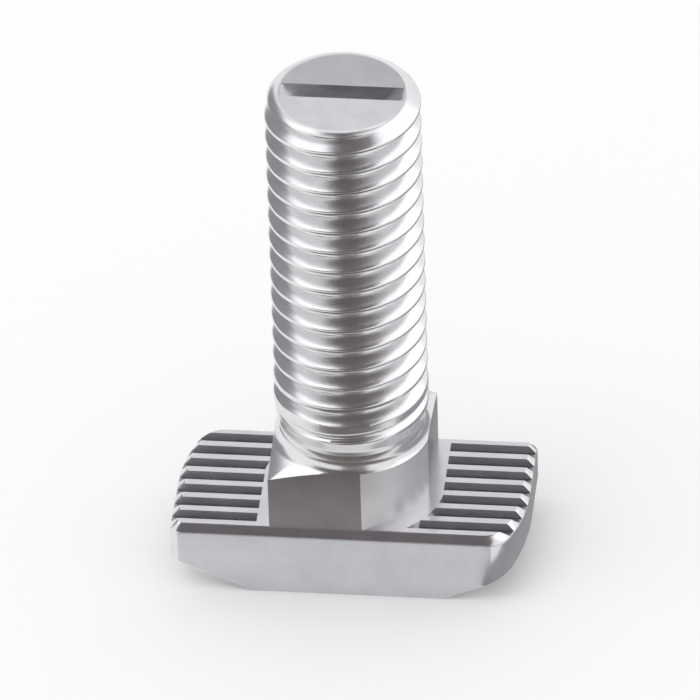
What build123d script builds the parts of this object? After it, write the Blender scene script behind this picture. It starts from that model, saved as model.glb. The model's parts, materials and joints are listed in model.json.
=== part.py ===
from build123d import *
from math import atan2, ceil, cos, degrees, floor, radians, sqrt, tan
import os

# Hammer-head T-slot bolt, cold forged in one piece with a rolled thread. Millimetres.
# The origin is the centre of the head's flat outer face and +Z runs up the thread.
# The head's long axis is X.

# Thread
thread_diameter = 8.0  # ISO metric coarse, right hand
thread_pitch = 1.25
length_under_head = 25.0  # from the bearing face to the end of the thread
runout_turns = 2  # turns in which the groove grows from nothing to its full depth

# Shank between neck and thread
shank_relief = 0.4  # shank diameter below thread diameter
shank_length = 1.3  # from the flats of the neck to the first trace of the groove
shank_taper = 0.6  # length over which the shank widens to the thread

# Screwdriver slot in the end, in line with the head
slot_width = 1.1
slot_depth = 1.0
slot_land = 0.1  # left of the end face beyond each end of the slot

# Head
head_length = 18.4
head_thickness = 4.0
end_height = 2.1  # height of the upright end faces
bevel_length = 4.2  # length of the sloping face from each end to the flat outer face
square_corner_radius = 0.6
arc_blend_radius = 1.5  # where a turning arc runs into a long side
edge_chamfer = 0.4  # round the bearing face

# Serrations of the bearing face
groove_pitch = 1.1
groove_width = 0.7
groove_depth = 0.35
groove_wall_angle = 20.0  # slope of the groove walls from upright
least_ridge = 0.3  # least width of the ridge along each long edge
neck_margin = 0.7  # plain ring round the neck, level with the ridges

# Neck
neck_height = 3.6  # at the middle of its flats
shoulder_angle = 20.0  # cone that cuts the neck's corners, measured from level
shoulder_fillet = 0.8  # between the cone and the shank

# The neck is as wide as the thread, so both pass through one slot, and the bearing face
# is as wide as the neck.
neck_width = thread_diameter
head_width = neck_width + 2 * edge_chamfer

# Levels above the outer face
bearing_level = head_thickness
flat_top_level = bearing_level + neck_height
groove_start_level = flat_top_level + shank_length
end_level = bearing_level + length_under_head

# ISO 68-1 profile with its groove cut to the depth of the rounded root
flank_angle = 30.0
sharp_height = thread_pitch / 2 / tan(radians(flank_angle))
thread_depth = 17 / 24 * sharp_height
crest_width = thread_pitch / 8
root_width = thread_pitch - crest_width - 2 * thread_depth * tan(radians(flank_angle))
thread_radius = thread_diameter / 2
root_radius = thread_radius - thread_depth
shank_radius = thread_radius - shank_relief / 2
end_radius = root_radius

# The groove's path comes in from clear of the shank, turn by turn, to the root of the thread
tool_clearance = 0.08  # how far a cutting shape stands clear of the surface that it cuts
clear_radius = thread_radius + tool_clearance
groove_reach = clear_radius - root_radius
runout_step = groove_reach / runout_turns
runout_angle = degrees(atan2(runout_step, thread_pitch))
runout_pitch = thread_pitch / cos(radians(runout_angle))
full_depth_level = groove_start_level + runout_turns * thread_pitch
full_turns = ceil((end_level - full_depth_level) / thread_pitch) + 1

# Cone over the neck's corners: it passes through the top of the flats
cone_slope = tan(radians(shoulder_angle))
cone_level = flat_top_level + neck_width / 2 * cone_slope
turning_radius = neck_width  # well outside the neck's corners
slot_half_length = end_radius - slot_land
slot_disc_radius = (slot_half_length**2 + slot_depth**2) / (2 * slot_depth)

# The serrations fill the bearing face between its chamfered long edges
half_count = floor((neck_width / 2 - groove_width / 2 - least_ridge) / groove_pitch)
groove_count = 2 * half_count + 1


def turning_outline(length, width):
    """Rectangle with two opposite corners rounded about the bolt's own axis.

    The bolt drops into the slot lengthwise and is turned clockwise. The rounded corners
    let it turn, and the square ones stop it across the slot.
    """
    half_length = length / 2
    half_width = width / 2
    arc_start = sqrt(half_length**2 - half_width**2)
    arc_turn = degrees(atan2(half_width, arc_start))
    with BuildSketch() as outline:
        with BuildLine():
            Polyline((arc_start, -half_width), (-half_length, -half_width), (-half_length, 0))
            CenterArc((0, 0), half_length, 180, -arc_turn)
            Polyline((-arc_start, half_width), (half_length, half_width), (half_length, 0))
            CenterArc((0, 0), half_length, 0, -arc_turn)
        make_face()
    return outline.sketch


head_outline = turning_outline(head_length, head_width)
neck_outline = turning_outline(neck_width, neck_width)
neck_ring = offset(neck_outline, amount=neck_margin)

with BuildPart() as hammer_head_bolt:
    # Head: plan outline, rounded upright edges, sloping end faces, chamfered bearing face
    with BuildSketch():
        add(head_outline)
    extrude(amount=head_thickness)
    upright_edges = hammer_head_bolt.edges().filter_by(Axis.Z)
    square_edges = upright_edges.filter_by(lambda e: e.center().X * e.center().Y > 0)
    blend_edges = upright_edges.filter_by(
        lambda e: e.center().X * e.center().Y < 0 and abs(e.center().Y) > head_width / 4
    )
    fillet(square_edges, square_corner_radius)
    fillet(blend_edges, arc_blend_radius)
    with BuildSketch(Plane.XZ):
        with BuildLine():
            Polyline(
                (head_length / 2 - bevel_length, 0),
                (head_length / 2, head_thickness - end_height),
                (head_length / 2, 0),
                close=True,
            )
        make_face()
        mirror(about=Plane.YZ)
    extrude(amount=head_width, both=True, mode=Mode.SUBTRACT)
    chamfer(hammer_head_bolt.faces().sort_by(Axis.Z)[-1].edges(), edge_chamfer)

    # Serrations along the head, open at its ends and stopped round the neck
    with BuildSketch(Plane.XY.offset(bearing_level)):
        with GridLocations(0, groove_pitch, 1, groove_count):
            Rectangle(head_length, groove_width)
        add(neck_ring, mode=Mode.SUBTRACT)
    extrude(amount=-groove_depth, taper=groove_wall_angle, mode=Mode.SUBTRACT)

    # Square neck, its corners turned down to a cone that runs into the round shank
    with BuildSketch(Plane.XY.offset(bearing_level)):
        add(neck_outline)
    extrude(amount=groove_start_level - bearing_level)
    with BuildSketch(Plane.XZ):
        with BuildLine():
            Polyline(
                (turning_radius, cone_level - turning_radius * cone_slope),
                (shank_radius, cone_level - shank_radius * cone_slope),
                (shank_radius, groove_start_level + tool_clearance),
                (turning_radius, groove_start_level + tool_clearance),
                close=True,
            )
        make_face()
        shoulder = vertices().group_by(Axis.X)[0].sort_by(Axis.Y)[0]
        fillet(shoulder, shoulder_fillet)
    revolve(axis=Axis.Z, mode=Mode.SUBTRACT)

    # Shank, widening to the full thread and chamfered at its end
    with BuildSketch(Plane.XZ):
        with BuildLine():
            Polyline(
                (0, groove_start_level),
                (shank_radius, groove_start_level),
                (thread_radius, groove_start_level + shank_taper),
                (thread_radius, end_level - thread_radius + end_radius),
                (end_radius, end_level),
                (0, end_level),
                close=True,
            )
        make_face()
    revolve(axis=Axis.Z)

    # Thread: one groove swept along its whole path, past the end face
    with BuildLine() as groove_path:
        for turn in range(runout_turns):
            Helix(
                runout_pitch,
                thread_pitch,
                clear_radius - turn * runout_step,
                center=(0, 0, groove_start_level + turn * thread_pitch),
                cone_angle=-runout_angle,
            )
        for turn in range(full_turns):
            Helix(
                thread_pitch,
                thread_pitch,
                root_radius,
                center=(0, 0, full_depth_level + turn * thread_pitch),
            )
    with BuildSketch(Plane.XZ):
        with Locations((clear_radius + groove_reach / 2, groove_start_level)):
            Trapezoid(
                root_width + 2 * groove_reach * tan(radians(flank_angle)),
                groove_reach,
                90 - flank_angle,
                rotation=90,
            )
    sweep(path=groove_path.wire(), is_frenet=True, mode=Mode.SUBTRACT)

    # Screwdriver slot, cut by a disc so that it runs out at the edge of the end face
    with Locations((0, 0, end_level - slot_depth + slot_disc_radius)):
        Cylinder(slot_disc_radius, slot_width, rotation=(90, 0, 0), mode=Mode.SUBTRACT)

hammer_head_bolt.part.label = "hammer_head_bolt"
os.makedirs("parts", exist_ok=True)
export_step(hammer_head_bolt.part, "parts/hammer_head_bolt.step")
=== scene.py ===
import json
from math import acos, atan2, cos, hypot, pi, radians, sin, sqrt, tan

import bmesh
import bpy
from bpy.props import FloatProperty, FloatVectorProperty, IntProperty, PointerProperty
from mathutils import Matrix, Vector

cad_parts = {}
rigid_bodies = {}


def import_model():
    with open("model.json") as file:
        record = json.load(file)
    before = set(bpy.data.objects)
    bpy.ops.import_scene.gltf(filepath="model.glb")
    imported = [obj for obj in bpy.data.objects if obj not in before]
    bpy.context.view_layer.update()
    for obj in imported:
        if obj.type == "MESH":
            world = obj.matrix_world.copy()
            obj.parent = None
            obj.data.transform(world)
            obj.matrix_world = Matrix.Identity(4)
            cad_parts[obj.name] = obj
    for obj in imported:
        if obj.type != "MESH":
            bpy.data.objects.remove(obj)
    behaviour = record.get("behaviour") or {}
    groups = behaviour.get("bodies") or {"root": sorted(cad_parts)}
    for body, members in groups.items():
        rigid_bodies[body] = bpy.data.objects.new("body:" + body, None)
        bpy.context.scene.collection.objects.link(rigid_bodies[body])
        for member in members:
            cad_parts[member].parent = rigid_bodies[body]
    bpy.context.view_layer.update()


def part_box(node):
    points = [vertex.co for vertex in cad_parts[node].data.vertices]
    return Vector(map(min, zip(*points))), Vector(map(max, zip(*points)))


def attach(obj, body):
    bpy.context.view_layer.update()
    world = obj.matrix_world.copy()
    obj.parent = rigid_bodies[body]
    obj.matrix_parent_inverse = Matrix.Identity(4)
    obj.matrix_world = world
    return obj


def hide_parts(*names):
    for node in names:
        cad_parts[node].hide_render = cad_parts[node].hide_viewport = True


bl_info = {
    "name": "T-Slot Bolt",
    "version": (1, 0, 0),
    "blender": (4, 5, 0),
    "location": "View3D > Sidebar > T-Slot Bolt",
    "description": "Hammer-head bolt with a square neck and a rolled thread",
    "category": "Add Mesh",
}

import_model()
NODE = "hammer_head_bolt"
FRAME_LOW, FRAME_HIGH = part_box(NODE)
MM = 0.001
TINY = 0.0001 * MM
MERGE = 0.002 * MM
ARC_STEP = radians(5)
FLANK_ANGLE = radians(30)


def length(name, description, millimetres):
    """A length in metres whose default is written in millimetres."""
    return FloatProperty(
        name=name,
        description=description,
        default=millimetres * MM,
        unit="LENGTH",
        subtype="DISTANCE",
        precision=5,
    )


def angle(name, description, degrees):
    return FloatProperty(
        name=name, description=description, default=radians(degrees), unit="ROTATION", subtype="ANGLE"
    )


def colour(name, description, default):
    return FloatVectorProperty(
        name=name, description=description, default=default, size=3, min=0, max=1, subtype="COLOR"
    )


def factor(name, description, default):
    return FloatProperty(
        name=name, description=description, default=default, min=0, max=1, subtype="FACTOR"
    )


class HeadSizes(bpy.types.PropertyGroup):
    thickness: length("Thickness", "From the outer face to the bearing face", 4.0)
    end_height: length("End height", "Height of the upright end faces", 2.1)
    bevel_length: length("Bevel length", "Length of each sloping end face", 4.2)
    square_corner_radius: length("Square corners", "Radius of the two square corners", 0.6)
    arc_blend_radius: length("Arc blend", "Where a turning arc runs into a long side", 1.5)
    edge_chamfer: length("Edge chamfer", "Chamfer round the bearing face", 0.4)
    edge_round: length("Edge round", "Softness of the head's other edges", 0.07)


class SerrationSizes(bpy.types.PropertyGroup):
    pitch: length("Pitch", "From groove to groove", 1.1)
    width: length("Width", "Width of a groove at its mouth", 0.7)
    depth: length("Depth", "Depth of a groove", 0.35)
    wall_angle: angle("Wall angle", "Slope of the groove walls from upright", 20.0)
    count: IntProperty(name="Grooves", description="Grooves on each side of the neck", default=7, min=1)
    ring: length("Ring", "Plain ring round the neck", 0.7)
    edge_round: length("Edge round", "Softness of the ridges", 0.045)


class NeckSizes(bpy.types.PropertyGroup):
    width: length("Width", "Across the flats", 8.0)
    height: length("Height", "At the middle of the flats", 3.6)
    arc_relief: length("Arc relief", "How far the rounded corners pass a circle on the flats", 0.08)
    shoulder_angle: angle("Shoulder", "Cone over the corners, from level", 20.0)
    shoulder_fillet: length("Fillet", "Between the cone and the shank", 0.8)
    shank_radius: length("Shank radius", "Plain shank under the thread", 3.8)
    shank_top: length("Shank top", "From the flats of the neck to the swept thread piece", 1.0)
    edge_round: length("Edge round", "Softness of the neck's edges", 0.08)
    overlap: length("Overlap", "How far the neck reaches into the head", 0.1)


class ThreadSizes(bpy.types.PropertyGroup):
    radius: length("Radius", "Half the outer diameter", 4.0)
    pitch: length("Pitch", "ISO coarse pitch", 1.25)
    start: length("Start", "From the outer face to the first trace of the groove", 8.9)
    taper: length("Taper", "Length over which the shank widens to the thread", 0.6)
    runout_turns: FloatProperty(
        name="Run-out", description="Turns in which the groove gets its depth", default=2.0, min=0.5
    )
    clearance: length("Clearance", "How far the groove starts outside the shank", 0.08)
    crest_round: length("Crest round", "Radius of the rolled crests", 0.13)
    blend: length("Blend", "Softness where the groove meets the blank", 0.06)
    steps: IntProperty(name="Steps", description="Faces in one turn", default=192, min=24)
    flank_steps: IntProperty(name="Flank steps", description="Faces across a flank", default=5, min=1)


class SlotSizes(bpy.types.PropertyGroup):
    width: length("Width", "Width of the screwdriver slot", 1.1)
    depth: length("Depth", "Depth at its middle", 1.0)
    land: length("Land", "Left of the end face beyond each end", 0.1)
    rim_excess: length("Rim excess", "How far the rim's rounding passes the crests", 0.02)


class Finish(bpy.types.PropertyGroup):
    plate: colour("Plate", "Bright nickel plating", (0.79, 0.785, 0.80))
    side: colour("Cut side", "Plating over the brushed sides of the head", (0.65, 0.655, 0.69))
    # Neck flat: its dark tint is a painted dark reflection on the dull plating.
    flat: colour("Neck flat", "Plating over the neck's dull flats", (0.27, 0.25, 0.255))
    turned: colour("Neck side", "Plating over the neck's rounded corners", (0.69, 0.68, 0.70))
    # Groove: its darker tint is painted shade in the recesses.
    groove: colour("Groove", "Plating in the bottoms of the serrations", (0.38, 0.38, 0.40))
    # Far half of the end face: a darker tint than the near half.
    far_end_tint: colour("Struck end", "Plating over the far half of the end face", (0.56, 0.56, 0.57))
    # Slot: its darker tint is painted shade in the recess.
    slot: colour("Slot", "Plating in the screwdriver slot", (0.62, 0.61, 0.64))
    plate_roughness: factor("Plate roughness", "Of the bright plating", 0.22)
    side_roughness: factor("Side roughness", "Of the brushed sides", 0.42)


class StageSizes(bpy.types.PropertyGroup):
    azimuth: angle("Azimuth", "Camera's turn round the bolt", -7.0)
    elevation: angle("Elevation", "Camera's height above the horizon", 37.2)
    roll: angle("Roll", "Camera's tilt", -1.8)
    distance: length("Distance", "From the camera to the bolt", 600.0)
    focal: FloatProperty(name="Focal length", description="Lens in millimetres", default=600.0)
    aim_height: length("Aim height", "Level that the camera looks at", 12.6)
    floor_size: length("Floor", "Side of the floor", 6000.0)
    card_distance: length("Card distance", "From the bolt to the reflector cards", 400.0)


def sizes(name):
    return getattr(bpy.context.scene, "bolt_" + name)


# Modelling helpers


def deselect():
    if bpy.context.mode != "OBJECT":
        bpy.ops.object.mode_set(mode="OBJECT")
    bpy.ops.object.select_all(action="DESELECT")


def only(obj):
    deselect()
    obj.select_set(True)
    bpy.context.view_layer.objects.active = obj


def prism(name, points, bottom, top):
    """Closed prism over a plan outline that runs anticlockwise."""
    deselect()
    bpy.ops.mesh.primitive_circle_add(vertices=len(points), radius=1, fill_type="NGON")
    obj = bpy.context.object
    obj.name = name
    for vertex, (x, y) in zip(obj.data.vertices, points):
        vertex.co = (x, y, bottom)
    bpy.ops.object.mode_set(mode="EDIT")
    bpy.ops.mesh.select_all(action="SELECT")
    bpy.ops.mesh.extrude_region_move(TRANSFORM_OT_translate={"value": (0, 0, top - bottom)})
    bpy.ops.mesh.select_all(action="SELECT")
    bpy.ops.mesh.normals_make_consistent(inside=False)
    bpy.ops.object.mode_set(mode="OBJECT")
    return obj


def spun(name, profile, steps):
    """Closed solid turned round the Z axis from a profile that starts and ends on it."""
    deselect()
    bpy.ops.mesh.primitive_circle_add(vertices=len(profile), radius=1)
    obj = bpy.context.object
    obj.name = name
    mesh = bmesh.new()
    chain = [mesh.verts.new((r, 0, z)) for r, z in profile]
    for low, high in zip(chain, chain[1:]):
        mesh.edges.new((low, high))
    mesh.to_mesh(obj.data)
    mesh.free()
    bpy.ops.object.mode_set(mode="EDIT")
    bpy.ops.mesh.select_all(action="SELECT")
    bpy.ops.mesh.spin(steps=steps, angle=2 * pi, center=(0, 0, 0), axis=(0, 0, 1))
    bpy.ops.mesh.select_all(action="SELECT")
    bpy.ops.mesh.remove_doubles(threshold=MERGE)
    bpy.ops.mesh.normals_make_consistent(inside=False)
    bpy.ops.object.mode_set(mode="OBJECT")
    return obj


def combine(obj, tool, operation):
    """Boolean with a second object, which is used up."""
    only(obj)
    modifier = obj.modifiers.new(operation.lower(), "BOOLEAN")
    modifier.operation = operation
    modifier.object = tool
    modifier.solver = "EXACT"
    bpy.ops.object.modifier_apply(modifier=modifier.name)
    bpy.data.objects.remove(tool)


def soften(obj, width, segments=2, limit=25):
    """Round the edges that turn by more than the limit."""
    only(obj)
    modifier = obj.modifiers.new("soft edges", "BEVEL")
    modifier.width = width
    modifier.segments = segments
    modifier.limit_method = "ANGLE"
    modifier.angle_limit = radians(limit)
    modifier.miter_outer = "MITER_ARC"
    bpy.ops.object.modifier_apply(modifier=modifier.name)


def shade(obj, limit=35):
    """Smooth the rounded edges and keep the wide faces flat."""
    only(obj)
    bpy.ops.object.shade_smooth_by_angle(angle=radians(limit))
    modifier = obj.modifiers.new("flat faces", "WEIGHTED_NORMAL")
    modifier.keep_sharp = True
    bpy.ops.object.modifier_apply(modifier=modifier.name)


def arc(centre, radius, start, end):
    """Points from one angle to another, both ends included."""
    count = max(2, round(abs(end - start) / ARC_STEP) + 1)
    turns = [start + (end - start) * i / (count - 1) for i in range(count)]
    return [(centre[0] + radius * cos(a), centre[1] + radius * sin(a)) for a in turns]


def turning_outline(half_length, half_width, radius, corner=0, blend=0):
    """Rectangle with two square corners and two corners rounded about the bolt's own axis."""
    if corner > 0:
        half = arc((half_length - corner, half_width - corner), corner, 0, pi / 2)
    else:
        half = [(half_length, half_width)]
    blend_x = -sqrt((radius - blend) ** 2 - (half_width - blend) ** 2)
    meeting = atan2(half_width - blend, blend_x)
    if blend > 0:
        half += arc((blend_x, half_width - blend), blend, pi / 2, meeting)[:-1]
    half += arc((0, 0), radius, meeting, pi - acos(min(half_length / radius, 1)))
    return half + [(-x, -y) for x, y in half]


def thread_depth():
    """Depth of the groove from crest to root."""
    return sizes("thread").pitch / 2 / tan(FLANK_ANGLE) * 17 / 24


# Pieces


class BOLT_OT_head(bpy.types.Operator):
    """Head with sloping ends and a serrated bearing face"""

    bl_idname = "bolt.head"
    bl_label = "Head"

    def execute(self, context):
        head = sizes("head")
        half_length = (FRAME_HIGH[0] - FRAME_LOW[0]) / 2
        half_width = (FRAME_HIGH[1] - FRAME_LOW[1]) / 2
        outline = turning_outline(
            half_length, half_width, half_length, head.square_corner_radius, head.arc_blend_radius
        )
        obj = prism("head", outline, 0, head.thickness)
        bpy.ops.object.mode_set(mode="EDIT")
        rise = head.thickness - head.end_height
        for side in (-1, 1):
            bpy.ops.mesh.select_all(action="SELECT")
            bpy.ops.mesh.bisect(
                plane_co=(side * half_length, 0, rise),
                plane_no=(side * rise, 0, -head.bevel_length),
                use_fill=True,
                clear_outer=True,
                threshold=TINY,
            )
        self.select_rim(obj, head.thickness)
        bpy.ops.mesh.bevel(offset=head.edge_chamfer, segments=1, affect="EDGES", clamp_overlap=False)
        bpy.ops.object.mode_set(mode="OBJECT")
        soften(obj, head.edge_round)
        combine(obj, self.groove_cutters(head, half_length), "DIFFERENCE")
        soften(obj, sizes("serrations").edge_round, limit=40)
        shade(obj)
        return {"FINISHED"}

    def select_rim(self, obj, level):
        """Select the edges round the face at one level."""
        bpy.ops.mesh.select_mode(type="EDGE")
        bpy.ops.mesh.select_all(action="DESELECT")
        mesh = bmesh.from_edit_mesh(obj.data)
        for edge in mesh.edges:
            if all(abs(v.co.z - level) < MERGE for v in edge.verts):
                edge.select_set(True)
        bmesh.update_edit_mesh(obj.data)

    def groove_cutters(self, head, half_length):
        """Bars of the grooves' section along the head, without the ring round the neck."""
        cut = sizes("serrations")
        neck = sizes("neck")
        floor_level = head.thickness - cut.depth
        lift = 0.2 * MM
        bars = []
        for index in range(cut.count):
            middle = (index - (cut.count - 1) / 2) * cut.pitch
            bpy.ops.object.select_all(action="DESELECT")
            bpy.ops.mesh.primitive_cube_add(size=2)
            bar = bpy.context.object
            for vertex in bar.data.vertices:
                up = vertex.co.z > 0
                spread = (cut.depth + lift) * tan(cut.wall_angle) if up else 0
                half = cut.width / 2 - cut.depth * tan(cut.wall_angle) + spread
                vertex.co.x = vertex.co.x * half_length * 1.2
                vertex.co.y = middle + half * vertex.co.y
                vertex.co.z = head.thickness + lift if up else floor_level
            bars.append(bar)
        deselect()
        for bar in bars:
            bar.select_set(True)
        bpy.context.view_layer.objects.active = bars[0]
        bpy.ops.object.join()
        cutter = bars[0]
        half_ring = neck.width / 2 + cut.ring
        outline = turning_outline(half_ring, half_ring, half_ring + neck.arc_relief, cut.ring)
        ring = prism("ring", outline, 0, head.thickness + 2 * lift)
        combine(cutter, ring, "DIFFERENCE")
        return cutter


class BOLT_OT_neck(bpy.types.Operator):
    """Square neck whose corners run into the round shank"""

    bl_idname = "bolt.neck"
    bl_label = "Neck"

    def execute(self, context):
        head = sizes("head")
        neck = sizes("neck")
        half = neck.width / 2
        flat_top = head.thickness + neck.height
        top = flat_top + neck.shank_top
        outline = turning_outline(half, half, half + neck.arc_relief)
        obj = prism("neck", outline, head.thickness - neck.overlap, top)
        slope = tan(neck.shoulder_angle)
        cone_level = flat_top + half * slope
        reach = neck.width
        turn = pi / 2 - neck.shoulder_angle
        tangent = neck.shoulder_fillet * tan(turn / 2)
        corner_level = cone_level - neck.shank_radius * slope
        centre = (neck.shank_radius + neck.shoulder_fillet, corner_level + tangent)
        fillet = arc(centre, neck.shoulder_fillet, -pi / 2 - neck.shoulder_angle, -pi)
        profile = [(0, 0), (reach, 0), (reach, cone_level - reach * slope)]
        profile += fillet + [(neck.shank_radius, top), (0, top)]
        combine(obj, spun("shoulder", profile, 144), "INTERSECT")
        soften(obj, neck.edge_round, limit=30)
        shade(obj)
        return {"FINISHED"}


class BOLT_OT_thread(bpy.types.Operator):
    """Shank with a rolled thread, its run-out, rounded end and screwdriver slot"""

    bl_idname = "bolt.thread"
    bl_label = "Thread"

    def execute(self, context):
        thread = sizes("thread")
        neck = sizes("neck")
        bottom = sizes("head").thickness + neck.height + neck.shank_top
        top = FRAME_HIGH[2]
        obj = self.screwed_column(thread, bottom, top)
        self.shape(obj, thread, neck)
        bpy.ops.object.mode_set(mode="EDIT")
        spare = thread.pitch / 4
        for level, way in ((top + spare, 1), (bottom, -1)):
            bpy.ops.mesh.select_all(action="SELECT")
            bpy.ops.mesh.bisect(
                plane_co=(0, 0, level),
                plane_no=(0, 0, way),
                use_fill=True,
                clear_outer=True,
                threshold=TINY,
            )
        bpy.ops.mesh.select_all(action="SELECT")
        bpy.ops.mesh.remove_doubles(threshold=MERGE)
        bpy.ops.mesh.normals_make_consistent(inside=False)
        bpy.ops.object.mode_set(mode="OBJECT")
        self.round_rim(obj, bottom, top)
        self.cut_slot(obj, top)
        shade(obj, 40)
        return {"FINISHED"}

    def tooth(self, thread):
        """One pitch of the profile, from crest to crest, as (level, radius)."""
        sharp = thread.pitch / 2 / tan(FLANK_ANGLE)
        root_round = sharp / 6
        root_centre = thread.radius - sharp * 17 / 24 + root_round
        crest_half = thread.pitch / 16
        crest_shift = max(crest_half - thread.crest_round * tan(FLANK_ANGLE), 0)
        angles = [radians(a) for a in (0, 20, 40, 60)]
        crest_centre = thread.radius - thread.crest_round
        crest = [
            (crest_shift + thread.crest_round * sin(a), crest_centre + thread.crest_round * cos(a))
            for a in angles
        ]
        root = [
            (thread.pitch / 2 - root_round * sin(a), root_centre - root_round * cos(a))
            for a in reversed(angles)
        ]
        (z0, r0), (z1, r1) = crest[-1], root[0]
        steps = [i / thread.flank_steps for i in range(1, thread.flank_steps)]
        flank_points = [(z0 + (z1 - z0) * t, r0 + (r1 - r0) * t) for t in steps]
        half = crest + flank_points + root
        mirrored = [(thread.pitch - z, r) for z, r in reversed(half[:-1])]
        return half + mirrored[:-1]

    def screwed_column(self, thread, bottom, top):
        """Sweep the profile once round and up by one pitch with a Screw modifier."""
        first = thread.start - thread.pitch / 2
        while first > bottom - 2 * thread.pitch:
            first -= thread.pitch
        tooth = self.tooth(thread)
        points = []
        level = first
        while level < top + thread.pitch:
            points += [(r, level + z) for z, r in tooth]
            level += thread.pitch
        deselect()
        bpy.ops.mesh.primitive_circle_add(vertices=3)
        obj = bpy.context.object
        obj.name = "threaded_shank"
        mesh = bmesh.new()
        chain = [mesh.verts.new((r, 0, z)) for r, z in points]
        for low, high in zip(chain, chain[1:]):
            mesh.edges.new((low, high))
        mesh.to_mesh(obj.data)
        mesh.free()
        modifier = obj.modifiers.new("rolled", "SCREW")
        modifier.axis = "Z"
        modifier.angle = 2 * pi
        modifier.steps = thread.steps
        modifier.render_steps = thread.steps
        modifier.screw_offset = thread.pitch
        bpy.ops.object.modifier_apply(modifier=modifier.name)
        bpy.ops.object.mode_set(mode="EDIT")
        bpy.ops.mesh.select_all(action="SELECT")
        bpy.ops.mesh.remove_doubles(threshold=MERGE)
        bpy.ops.object.mode_set(mode="OBJECT")
        return obj

    def shape(self, obj, thread, neck):
        """Lift the groove out over its run-out and turn the whole down to the blank's outline."""
        reach = thread_depth() + thread.clearance

        def blank(level):
            widening = min(max((level - thread.start) / thread.taper, 0), 1)
            return neck.shank_radius + (thread.radius - neck.shank_radius) * widening

        def soft_min(a, b, blend):
            gap = max(blend - abs(a - b), 0) / blend
            return min(a, b) - gap * gap * blend / 4

        for vertex in obj.data.vertices:
            x, y, level = vertex.co
            radius = hypot(x, y)
            turn = atan2(y, x) / (2 * pi) % 1
            groove = round((level - thread.start) / thread.pitch - turn)
            depth_share = min(max((groove + turn) / thread.runout_turns, 0), 1)
            lifted = radius + (1 - depth_share) * reach
            shaped = soft_min(lifted, blank(level), thread.blend)
            vertex.co = (x * shaped / radius, y * shaped / radius, level)

    def round_rim(self, obj, bottom, top):
        """Cut the thread to its length and round the end's rim, as rolling leaves it."""
        rim = thread_depth() + sizes("slot").rim_excess
        centre = (sizes("thread").radius - thread_depth(), top - rim)
        profile = [(0, bottom - MM), (centre[0] + rim, bottom - MM)]
        profile += arc(centre, rim, 0, pi / 2) + [(0, top)]
        combine(obj, spun("rim", profile, sizes("thread").steps), "INTERSECT")

    def cut_slot(self, obj, top):
        """Screwdriver slot, cut by a disc so that it runs out at the edge of the end face."""
        slot = sizes("slot")
        half = sizes("thread").radius - thread_depth() - slot.land
        disc = (half**2 + slot.depth**2) / (2 * slot.depth)
        deselect()
        bpy.ops.mesh.primitive_cylinder_add(
            vertices=192,
            radius=disc,
            depth=slot.width,
            location=(0, 0, top - slot.depth + disc),
            rotation=(pi / 2, 0, 0),
        )
        cutter = bpy.context.object
        bpy.ops.object.transform_apply()
        combine(obj, cutter, "DIFFERENCE")


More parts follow.
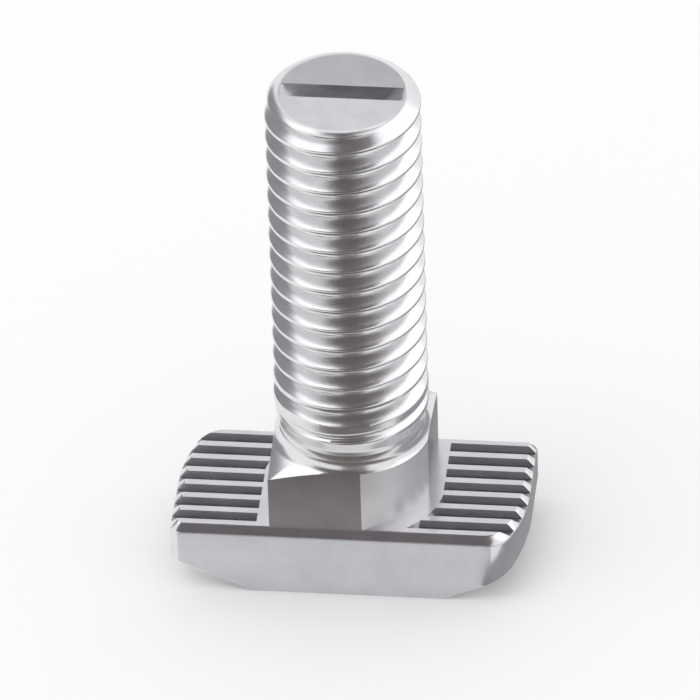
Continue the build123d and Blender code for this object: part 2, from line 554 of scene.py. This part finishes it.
class BOLT_OT_finish(bpy.types.Operator):
    """Nickel plating: bright, brushed on the cut sides, dull on the neck's flats with a painted dark
    reflection; painted shade in the grooves and slot; darker on the far half of the end face
    """

    bl_idname = "bolt.finish"
    bl_label = "Finish"

    def execute(self, context):
        finish = sizes("finish")
        even, along_z = (60, 60, 60), (50, 50, 5)
        plate = metal("bright_plate", finish.plate, finish.plate_roughness, grain=0.3, scale=even)
        side = metal("brushed_side", finish.side, finish.side_roughness, grain=0.5, scale=(40, 40, 6))
        # Grooves: the tint carries painted shade.
        groove = metal("serration_groove_painted_shade", finish.groove, 0.3, grain=0.6, scale=(4, 12, 12), dents=0.03)
        # Neck flats: the tint carries a painted dark reflection.
        flat = metal("neck_flat_painted_reflection", finish.flat, 0.4, grain=0.5, scale=along_z)
        turned = metal("neck_side", finish.turned, 0.45, grain=0.4, scale=along_z)
        far_end_tint = metal("far_end_half", finish.far_end_tint, 0.3, grain=0.5, scale=(8, 8, 8), dents=0.05)
        # Slot: the tint carries painted shade.
        slot = metal("slot_wall_painted_shade", finish.slot, 0.3, grain=0.5, scale=(8, 8, 8), dents=0.05)
        head, neck, shank = (bpy.data.objects[n] for n in ("head", "neck", "threaded_shank"))
        self.paint(head, [plate, side, groove], self.head_finish)
        self.paint(neck, [plate, flat, turned], self.neck_finish)
        self.paint(shank, [plate, far_end_tint, slot], self.shank_finish)
        for piece in (head, neck, shank):
            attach(piece, "root")
            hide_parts(NODE)
        return {"FINISHED"}

    def paint(self, obj, materials, choose):
        """Give each face the material whose number the function returns."""
        obj.data.materials.clear()
        for material in materials:
            obj.data.materials.append(material)
        for face in obj.data.polygons:
            face.material_index = choose(face)

    def head_finish(self, face):
        """Brushed long sides, and dull lower parts of the grooves darkened with painted shade."""
        head = sizes("head")
        cut = sizes("serrations")
        upright = abs(face.normal.y) > 0.97
        if upright and face.center.z < head.thickness - head.edge_chamfer:
            return 1
        edge_row = (cut.count - 1) / 2 * cut.pitch + cut.width / 2
        share_down = (head.thickness - face.center.z) / cut.depth
        # Faces low in the grooves get the painted shade.
        in_painted_shade_groove = 0.3 < share_down < 1.05 and abs(face.center.y) < edge_row
        return 2 if in_painted_shade_groove and abs(face.normal.x) < 0.5 else 0

    def neck_finish(self, face):
        """Dull flats darkened with a painted dark reflection, and smooth rounded corners, below the
        shoulder.
        """
        if face.center.z > sizes("head").thickness + sizes("neck").height:
            return 0
        # The flats take the material with the painted dark reflection.
        if max(abs(face.normal.x), abs(face.normal.y)) > 0.999:
            return 1
        return 2 if abs(face.normal.z) < 0.1 else 0

    def shank_finish(self, face):
        """Darker, rough far half of the end face, and rough slot darkened with painted shade."""
        slot = sizes("slot")
        x, y, level = face.center
        end = FRAME_HIGH[2]
        inside = hypot(x, y) < sizes("thread").radius - thread_depth() - TINY
        # Slot faces get the painted shade.
        if inside and abs(y) < slot.width / 2 + TINY and level > end - slot.depth - TINY:
            return 2
        # The far half of the end face takes its darker tint.
        return 1 if face.normal.z > 0.9999 and level > end - TINY and y > 0 else 0


# Materials


def grain_group():
    """Colour, roughness and height of plated steel from fine noise and cloudy patches."""
    name = "plated_grain"
    if name in bpy.data.node_groups:
        return bpy.data.node_groups[name]
    group = bpy.data.node_groups.new(name, "ShaderNodeTree")
    for socket, kind, default in (
        ("Colour", "NodeSocketColor", (0.8, 0.8, 0.8, 1)),
        ("Roughness", "NodeSocketFloat", 0.2),
        ("Grain", "NodeSocketFloat", 0.5),
        ("Scale", "NodeSocketVector", (50, 50, 50)),
    ):
        item = group.interface.new_socket(name=socket, in_out="INPUT", socket_type=kind)
        item.default_value = default
    group.interface.new_socket(name="Colour", in_out="OUTPUT", socket_type="NodeSocketColor")
    group.interface.new_socket(name="Roughness", in_out="OUTPUT", socket_type="NodeSocketFloat")
    group.interface.new_socket(name="Height", in_out="OUTPUT", socket_type="NodeSocketFloat")
    nodes, links = group.nodes, group.links
    entry = nodes.new("NodeGroupInput")
    leave = nodes.new("NodeGroupOutput")
    place = nodes.new("ShaderNodeTexCoord")
    stretch = nodes.new("ShaderNodeVectorMath")
    stretch.operation = "MULTIPLY"
    links.new(place.outputs["Object"], stretch.inputs[0])
    links.new(entry.outputs["Scale"], stretch.inputs[1])
    fine = nodes.new("ShaderNodeTexNoise")
    fine.inputs["Scale"].default_value = 400
    fine.inputs["Detail"].default_value = 3
    links.new(stretch.outputs[0], fine.inputs["Vector"])
    cloud = nodes.new("ShaderNodeTexNoise")
    cloud.inputs["Scale"].default_value = 700
    cloud.inputs["Detail"].default_value = 4
    links.new(place.outputs["Object"], cloud.inputs["Vector"])
    tone = nodes.new("ShaderNodeMapRange")
    tone.inputs["From Min"].default_value = 0.3
    tone.inputs["From Max"].default_value = 0.7
    tone.inputs["To Min"].default_value = 0.93
    tone.inputs["To Max"].default_value = 1.03
    links.new(cloud.outputs["Fac"], tone.inputs["Value"])
    shade_colour = nodes.new("ShaderNodeVectorMath")
    shade_colour.operation = "SCALE"
    links.new(entry.outputs["Colour"], shade_colour.inputs[0])
    links.new(tone.outputs["Result"], shade_colour.inputs["Scale"])
    swing = nodes.new("ShaderNodeMapRange")
    swing.inputs["To Min"].default_value = -0.5
    swing.inputs["To Max"].default_value = 0.5
    links.new(fine.outputs["Fac"], swing.inputs["Value"])
    amount = nodes.new("ShaderNodeMath")
    amount.operation = "MULTIPLY"
    links.new(swing.outputs["Result"], amount.inputs[0])
    links.new(entry.outputs["Grain"], amount.inputs[1])
    share = nodes.new("ShaderNodeMath")
    share.operation = "MULTIPLY_ADD"
    links.new(amount.outputs[0], share.inputs[0])
    links.new(entry.outputs["Roughness"], share.inputs[1])
    links.new(entry.outputs["Roughness"], share.inputs[2])
    height = nodes.new("ShaderNodeMath")
    height.operation = "MULTIPLY"
    links.new(fine.outputs["Fac"], height.inputs[0])
    links.new(entry.outputs["Grain"], height.inputs[1])
    links.new(shade_colour.outputs[0], leave.inputs["Colour"])
    links.new(share.outputs[0], leave.inputs["Roughness"])
    links.new(height.outputs[0], leave.inputs["Height"])
    return group


def metal(name, tint, roughness, grain, scale, dents=0.0025):
    """Plated steel with its grain drawn out along the axis of least scale, and dents in millimetres."""
    material = bpy.data.materials.new(name)
    material.use_nodes = True
    nodes, links = material.node_tree.nodes, material.node_tree.links
    surface = nodes["Principled BSDF"]
    surface.inputs["Metallic"].default_value = 1
    effect = nodes.new("ShaderNodeGroup")
    effect.node_tree = grain_group()
    effect.inputs["Colour"].default_value = (*tint, 1)
    effect.inputs["Roughness"].default_value = roughness
    effect.inputs["Grain"].default_value = grain
    effect.inputs["Scale"].default_value = scale
    bump = nodes.new("ShaderNodeBump")
    bump.inputs["Distance"].default_value = dents * MM
    links.new(effect.outputs["Colour"], surface.inputs["Base Color"])
    links.new(effect.outputs["Roughness"], surface.inputs["Roughness"])
    links.new(effect.outputs["Height"], bump.inputs["Height"])
    links.new(bump.outputs["Normal"], surface.inputs["Normal"])
    return material


# Stage


class BOLT_OT_stage(bpy.types.Operator):
    """Pale floor, white surroundings, reflector cards and camera"""

    bl_idname = "bolt.stage"
    bl_label = "Stage"

    def execute(self, context):
        stage = sizes("stage")
        self.floor(stage)
        self.surroundings(context)
        self.lamp()
        dark = (0.135, 0.12, 0.13)
        brown = (0.26, 0.24, 0.235)
        grey = (0.30, 0.29, 0.305)
        light = (0.78, 0.782, 0.815)
        bright = (1.4, 1.4, 1.42)
        self.card("dark_front", azimuth=-12, elevation=47, width=66, height=40, glow=dark)
        self.card("dark_overhead", azimuth=20, elevation=84, width=34, height=44, glow=dark)
        self.card("grey_front", azimuth=8, elevation=10, width=34, height=36, glow=brown)
        self.low_card("dark_floor", left=-24, right=54, near=12, far=400, glow=(0.16, 0.14, 0.135))
        self.low_card("grey_floor", left=7, right=70, near=-90, far=6, glow=(0.34, 0.34, 0.36))
        self.card("bright_left", azimuth=-90, elevation=62, width=46, height=30, glow=bright)
        self.card("bright_right", azimuth=105, elevation=50, width=60, height=52, glow=bright)
        self.card("grey_left", azimuth=-125, elevation=28, width=46, height=40, glow=grey)
        self.card("light_back", azimuth=180, elevation=38, width=24, height=34, glow=light)
        self.camera(context, stage)
        return {"FINISHED"}

    def floor(self, stage):
        """Pale matt floor that takes the bolt's shadow."""
        deselect()
        bpy.ops.mesh.primitive_plane_add(size=stage.floor_size)
        floor = bpy.context.object
        floor.name = "floor"
        material = bpy.data.materials.new("pale_floor")
        material.use_nodes = True
        surface = material.node_tree.nodes["Principled BSDF"]
        surface.inputs["Base Color"].default_value = (0.96, 0.96, 0.96, 1)
        surface.inputs["Roughness"].default_value = 0.8
        surface.inputs["Specular IOR Level"].default_value = 0.1
        floor.data.materials.append(material)

    def surroundings(self, context):
        """Softly lit room that the camera and the metal see as white."""
        world = bpy.data.worlds.new("white_room")
        world.use_nodes = True
        nodes, links = world.node_tree.nodes, world.node_tree.links
        light = nodes["Background"]
        light.inputs["Color"].default_value = (1, 1, 1, 1)
        light.inputs["Strength"].default_value = 0.95
        white = nodes.new("ShaderNodeBackground")
        white.inputs["Color"].default_value = (1, 1, 1, 1)
        white.inputs["Strength"].default_value = 1
        ray = nodes.new("ShaderNodeLightPath")
        either = nodes.new("ShaderNodeMath")
        either.operation = "MAXIMUM"
        seen = nodes.new("ShaderNodeMath")
        seen.operation = "MAXIMUM"
        mix = nodes.new("ShaderNodeMixShader")
        links.new(ray.outputs["Is Camera Ray"], either.inputs[0])
        links.new(ray.outputs["Is Glossy Ray"], either.inputs[1])
        links.new(either.outputs[0], seen.inputs[0])
        links.new(ray.outputs["Is Transmission Ray"], seen.inputs[1])
        links.new(seen.outputs[0], mix.inputs["Fac"])
        links.new(light.outputs[0], mix.inputs[1])
        links.new(white.outputs[0], mix.inputs[2])
        links.new(mix.outputs[0], nodes["World Output"].inputs["Surface"])
        context.scene.world = world

    def lamp(self):
        """Soft lamp for the shadow, which the metal doesn't mirror."""
        deselect()
        bpy.ops.object.light_add(type="AREA", location=(-0.25, -0.1, 0.5))
        lamp = bpy.context.object
        lamp.data.size = 0.3
        lamp.data.energy = 0.35
        lamp.rotation_euler = (-lamp.location).to_track_quat("-Z", "Y").to_euler()
        lamp.visible_glossy = False

    def card(self, name, azimuth, elevation, width, height, glow):
        """Sheet that only the metal sees. Azimuth 0 is the front, 90 the right; all in degrees."""
        turn, rise = radians(azimuth), radians(elevation)
        way = Vector((sin(turn) * cos(rise), -cos(turn) * cos(rise), sin(rise)))
        distance = sizes("stage").card_distance
        half_width = distance * tan(radians(width) / 2)
        half_height = distance * tan(radians(height) / 2)
        card = self.sheet(name, half_width, half_height, glow)
        card.location = way * distance
        card.rotation_euler = way.to_track_quat("Z", "Y").to_euler()

    def low_card(self, name, left, right, near, far, glow):
        """Level sheet just over the floor, in millimetres. Near and far count from the bolt forwards."""
        card = self.sheet(name, (right - left) / 2 * MM, (far - near) / 2 * MM, glow)
        card.location = ((left + right) / 2 * MM, -(near + far) / 2 * MM, MM)

    def sheet(self, name, half_width, half_height, glow):
        """Glowing plane that neither the camera nor the floor sees."""
        deselect()
        bpy.ops.mesh.primitive_plane_add(size=2)
        card = bpy.context.object
        card.name = name
        card.scale = (half_width, half_height, 1)
        material = bpy.data.materials.new(name)
        material.use_nodes = True
        nodes = material.node_tree.nodes
        nodes.remove(nodes["Principled BSDF"])
        glow_node = nodes.new("ShaderNodeEmission")
        glow_node.inputs["Color"].default_value = (*glow, 1)
        output = nodes["Material Output"]
        material.node_tree.links.new(glow_node.outputs[0], output.inputs["Surface"])
        card.data.materials.append(material)
        card.visible_camera = False
        card.visible_diffuse = False
        card.visible_shadow = False
        return card

    def camera(self, context, stage):
        """Long lens from the front right, looking down at the bolt."""
        deselect()
        bpy.ops.object.camera_add()
        camera = bpy.context.object
        flat = cos(stage.elevation)
        ahead = Vector((sin(stage.azimuth) * flat, cos(stage.azimuth) * flat, -sin(stage.elevation)))
        aim = Vector((0, 0, stage.aim_height))
        turn = ahead.to_track_quat("-Z", "Y").to_matrix() @ Matrix.Rotation(stage.roll, 3, "Z")
        camera.location = aim - ahead * stage.distance
        camera.rotation_euler = turn.to_euler()
        camera.data.lens = stage.focal
        context.scene.camera = camera
        context.scene.view_settings.view_transform = "Standard"


# Sidebar and registration

OPERATORS = (BOLT_OT_head, BOLT_OT_neck, BOLT_OT_thread, BOLT_OT_finish, BOLT_OT_stage)
GROUPS = {
    "head": HeadSizes,
    "serrations": SerrationSizes,
    "neck": NeckSizes,
    "thread": ThreadSizes,
    "slot": SlotSizes,
    "finish": Finish,
    "stage": StageSizes,
}


class BOLT_PT_sidebar(bpy.types.Panel):
    """Sizes, finishes and steps of the bolt"""

    bl_idname = "BOLT_PT_sidebar"
    bl_label = "T-Slot Bolt"
    bl_space_type = "VIEW_3D"
    bl_region_type = "UI"
    bl_category = "T-Slot Bolt"

    def draw(self, context):
        for name, group in GROUPS.items():
            box = self.layout.box()
            box.label(text=name.title())
            for field in group.__annotations__:
                box.prop(sizes(name), field)
        for operator in OPERATORS:
            self.layout.operator(operator.bl_idname)


def register():
    for group in GROUPS.values():
        bpy.utils.register_class(group)
    for name, group in GROUPS.items():
        setattr(bpy.types.Scene, "bolt_" + name, PointerProperty(type=group))
    for kind in (*OPERATORS, BOLT_PT_sidebar):
        bpy.utils.register_class(kind)


def unregister():
    for kind in (BOLT_PT_sidebar, *reversed(OPERATORS)):
        bpy.utils.unregister_class(kind)
    for name, group in reversed(GROUPS.items()):
        delattr(bpy.types.Scene, "bolt_" + name)
        bpy.utils.unregister_class(group)


def main():
    register()
    bpy.ops.bolt.head()
    bpy.ops.bolt.neck()
    bpy.ops.bolt.thread()
    bpy.ops.bolt.finish()
    bpy.ops.bolt.stage()


if __name__ == "__main__":
    main()
